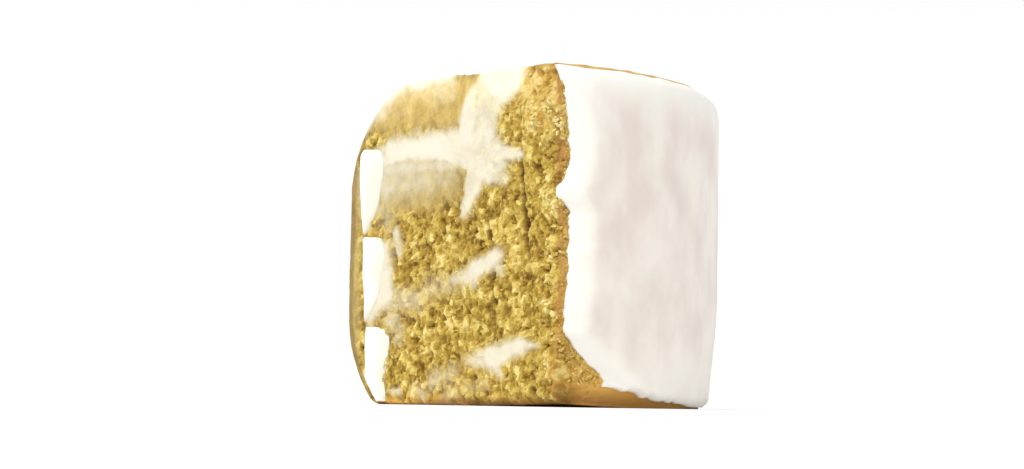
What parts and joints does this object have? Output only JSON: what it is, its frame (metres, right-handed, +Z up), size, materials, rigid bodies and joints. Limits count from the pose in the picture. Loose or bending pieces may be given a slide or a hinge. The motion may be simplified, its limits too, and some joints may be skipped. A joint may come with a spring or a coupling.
{
  "type": "baumkuchen",
  "caption": "Piece cut from a ring-shaped layer cake, with torn crumb on its cuts, a browned skin, white icing on its outer side and drips of icing on one cut.",
  "frame": {"origin": "middle of the piece's footprint, on the surface that it lies on", "axes": "+Z up, along the axis of the ring that the piece is cut from; -Y towards the viewer, who sees the first cut on the left and the iced outer side on the right"},
  "size_m": [0.0538, 0.0627, 0.0453],
  "materials": {
    "sponge": "soft golden crumb, torn and matt, with a browned skin",
    "icing": "smooth white sugar icing with a faint sheen"
  },
  "bodies": {
    "root": {"sponge": "sponge", "icing": "icing"}
  },
  "joints": []
}
